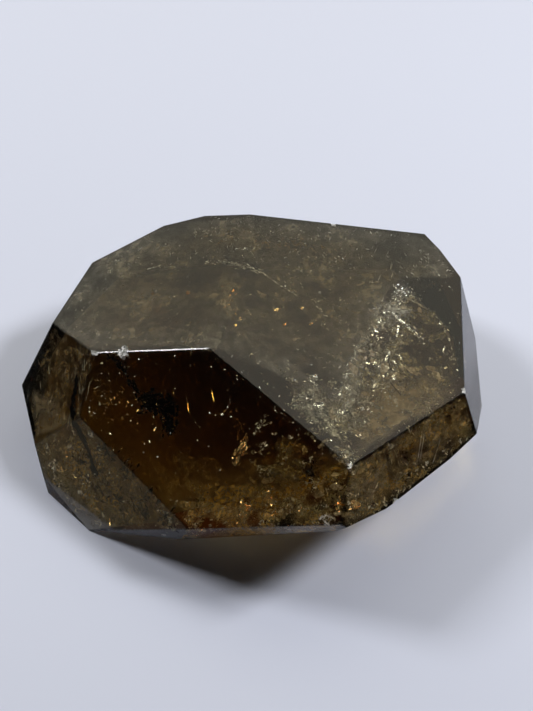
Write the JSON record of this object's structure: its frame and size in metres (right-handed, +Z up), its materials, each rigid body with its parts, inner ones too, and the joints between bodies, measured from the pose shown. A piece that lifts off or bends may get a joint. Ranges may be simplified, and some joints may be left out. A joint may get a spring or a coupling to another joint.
{
  "type": "polished smoky quartz",
  "caption": "Free-form smoky quartz stone with broad flat polished facets, see-through dark brown, lying on a flat base facet.",
  "frame": {"origin": "middle of the stone's outline, on the flat surface that its base facet rests on", "axes": "+X along the stone's length toward the tall blunt end, -Y toward the big sloping front facet, +Z up"},
  "size_m": [0.0864, 0.0686, 0.0295],
  "materials": {
    "smoky_quartz": "transparent smoky brown quartz crystal, ground flat and polished"
  },
  "bodies": {
    "root": {"smoky_quartz": "smoky_quartz"}
  },
  "joints": []
}
